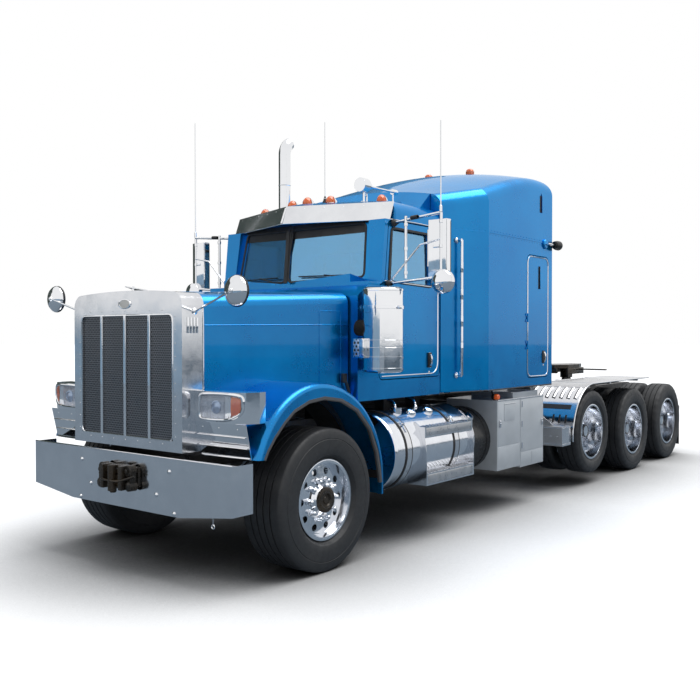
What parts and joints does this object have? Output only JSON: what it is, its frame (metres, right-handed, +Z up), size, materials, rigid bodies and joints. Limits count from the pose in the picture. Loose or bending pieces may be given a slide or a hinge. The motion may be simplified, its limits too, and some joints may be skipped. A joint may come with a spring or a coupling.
{
  "type": "semi truck tractor unit",
  "caption": "Long-nosed semi truck tractor with a tall sleeper, steered front axle, twin-wheeled rear axles, fifth wheel, side tanks, chrome grille and bumper; hood and doors open, wheels roll.",
  "frame": {"origin": "middle of the whole vehicle's footprint, on the ground under it", "axes": "+X to the truck's own left, +Y to its rear along its length, +Z up"},
  "size_m": [3.1739, 9.255, 3.895],
  "materials": {
    "blue_paint": "glossy metallic",
    "grey_paint": "satin",
    "black_paint": "satin",
    "black_steel": "satin",
    "cast_metal": "rough",
    "chrome": "mirror polished",
    "polished_alloy": "polished",
    "screen_mesh": "brushed",
    "tyre": "matte",
    "flap_rubber": "matte",
    "lamp_lens": "clear gloss",
    "amber_lens": "clear gloss",
    "tinted_glass": "clear",
    "seat_fabric": "woven",
    "cab_trim": "grained"
  },
  "bodies": {
    "chassis": {"frame_rails": "black_steel", "bumper": "chrome", "tow_hitch": "black_steel", "front_axle": "black_steel", "rear_axles": "black_steel", "engine": "cast_metal", "cab_shell": "blue_paint", "windshield": "tinted_glass", "sun_visor": "chrome", "roof_lamps": "amber_lens", "roof_fittings": "chrome", "seats": "seat_fabric", "dashboard": "cab_trim", "sleeper_shell": "blue_paint", "air_cleaners": "chrome", "fuel_tanks": "polished_alloy", "tank_steps": "polished_alloy", "air_tanks": "black_paint", "side_boxes": "grey_paint", "side_steps": "polished_alloy", "deck": "polished_alloy", "rear_fenders": "polished_alloy", "fifth_base": "black_steel", "tail_bar": "flap_rubber", "exhaust_stack": "chrome", "grab_bars": "chrome"},
    "hood": {"hood": "blue_paint", "grille_shell": "chrome", "grille_screen": "screen_mesh", "headlights": "chrome", "headlight_lenses": "lamp_lens", "fender_mirrors": "chrome"},
    "fifth_plate": {"fifth_plate": "black_steel"},
    "steering_wheel": {"steering_wheel": "cab_trim"},
    "knuckle_left": {"knuckle_left": "black_steel"},
    "wheel_front_left": {"rim_front_left": "polished_alloy", "tyre_front_left": "tyre"},
    "door_left": {"door_left": "blue_paint", "door_glass_left": "tinted_glass", "mirrors_left": "chrome"},
    "sleeper_door_left": {"sleeper_door_left": "blue_paint"},
    "knuckle_right": {"knuckle_right": "black_steel"},
    "wheel_front_right": {"rim_front_right": "polished_alloy", "tyre_front_right": "tyre"},
    "door_right": {"door_right": "blue_paint", "door_glass_right": "tinted_glass", "mirrors_right": "chrome"},
    "sleeper_door_right": {"sleeper_door_right": "blue_paint"},
    "wheels_lift_left": {"rims_lift_left": "polished_alloy", "tyres_lift_left": "tyre"},
    "wheels_lift_right": {"rims_lift_right": "polished_alloy", "tyres_lift_right": "tyre"},
    "wheels_mid_left": {"rims_mid_left": "polished_alloy", "tyres_mid_left": "tyre"},
    "wheels_mid_right": {"rims_mid_right": "polished_alloy", "tyres_mid_right": "tyre"},
    "wheels_tail_left": {"rims_tail_left": "polished_alloy", "tyres_tail_left": "tyre"},
    "wheels_tail_right": {"rims_tail_right": "polished_alloy", "tyres_tail_right": "tyre"}
  },
  "joints": [
    {"name": "hood_tilt", "type": "hinge", "parent": "chassis", "child": "hood", "pos_m": [0, -4.4575, 0.7], "axis": [1, 0, 0], "range_deg": [0, 65]},
    {"name": "fifth_plate_tilt", "type": "hinge", "parent": "chassis", "child": "fifth_plate", "pos_m": [0, 2.4475, 1.23], "axis": [1, 0, 0], "range_deg": [-10, 10]},
    {"name": "steer_left", "type": "hinge", "parent": "chassis", "child": "knuckle_left", "pos_m": [0.9, -3.5725, 0.53], "axis": [0, 0, 1], "range_deg": [-35, 35]},
    {"name": "roll_front_left", "type": "hinge", "parent": "knuckle_left", "child": "wheel_front_left", "pos_m": [1, -3.5725, 0.53], "axis": [1, 0, 0], "continuous": true},
    {"name": "door_left_swing", "type": "hinge", "parent": "chassis", "child": "door_left", "pos_m": [0.953, -2.6215, 1.8], "axis": [0, 0, -1], "range_deg": [0, 70]},
    {"name": "sleeper_door_left_swing", "type": "hinge", "parent": "chassis", "child": "sleeper_door_left", "pos_m": [1.178, -0.3615, 1.8], "axis": [0, 0, -1], "range_deg": [0, 90]},
    {"name": "steer_right", "type": "hinge", "parent": "chassis", "child": "knuckle_right", "pos_m": [-0.9, -3.5725, 0.53], "axis": [0, 0, 1], "range_deg": [-35, 35]},
    {"name": "roll_front_right", "type": "hinge", "parent": "knuckle_right", "child": "wheel_front_right", "pos_m": [-1, -3.5725, 0.53], "axis": [1, 0, 0], "continuous": true},
    {"name": "door_right_swing", "type": "hinge", "parent": "chassis", "child": "door_right", "pos_m": [-0.953, -2.6215, 1.8], "axis": [0, 0, 1], "range_deg": [0, 70]},
    {"name": "sleeper_door_right_swing", "type": "hinge", "parent": "chassis", "child": "sleeper_door_right", "pos_m": [-1.178, -0.3615, 1.8], "axis": [0, 0, 1], "range_deg": [0, 90]},
    {"name": "roll_lift_left", "type": "hinge", "parent": "chassis", "child": "wheels_lift_left", "pos_m": [0.9095, 1.2775, 0.61], "axis": [1, 0, 0], "continuous": true},
    {"name": "roll_lift_right", "type": "hinge", "parent": "chassis", "child": "wheels_lift_right", "pos_m": [-0.9095, 1.2775, 0.61], "axis": [1, 0, 0], "continuous": true},
    {"name": "roll_mid_left", "type": "hinge", "parent": "chassis", "child": "wheels_mid_left", "pos_m": [0.9095, 2.6325, 0.527], "axis": [1, 0, 0], "continuous": true},
    {"name": "roll_mid_right", "type": "hinge", "parent": "chassis", "child": "wheels_mid_right", "pos_m": [-0.9095, 2.6325, 0.527], "axis": [1, 0, 0], "continuous": true},
    {"name": "roll_tail_left", "type": "hinge", "parent": "chassis", "child": "wheels_tail_left", "pos_m": [0.9095, 3.9875, 0.527], "axis": [1, 0, 0], "continuous": true},
    {"name": "roll_tail_right", "type": "hinge", "parent": "chassis", "child": "wheels_tail_right", "pos_m": [-0.9095, 3.9875, 0.527], "axis": [1, 0, 0], "continuous": true},
    {"name": "steering_wheel_turn", "type": "hinge", "parent": "chassis", "child": "steering_wheel", "pos_m": [0.46, -2.1875, 2.04], "axis": [0, 0.5, 0.866], "range_deg": [-630, 630]}
  ],
  "couplings": [
    {"joint": "steer_right", "follows": "steer_left", "ratio": 1},
    {"joint": "steering_wheel_turn", "follows": "steer_left", "ratio": 18}
  ]
}
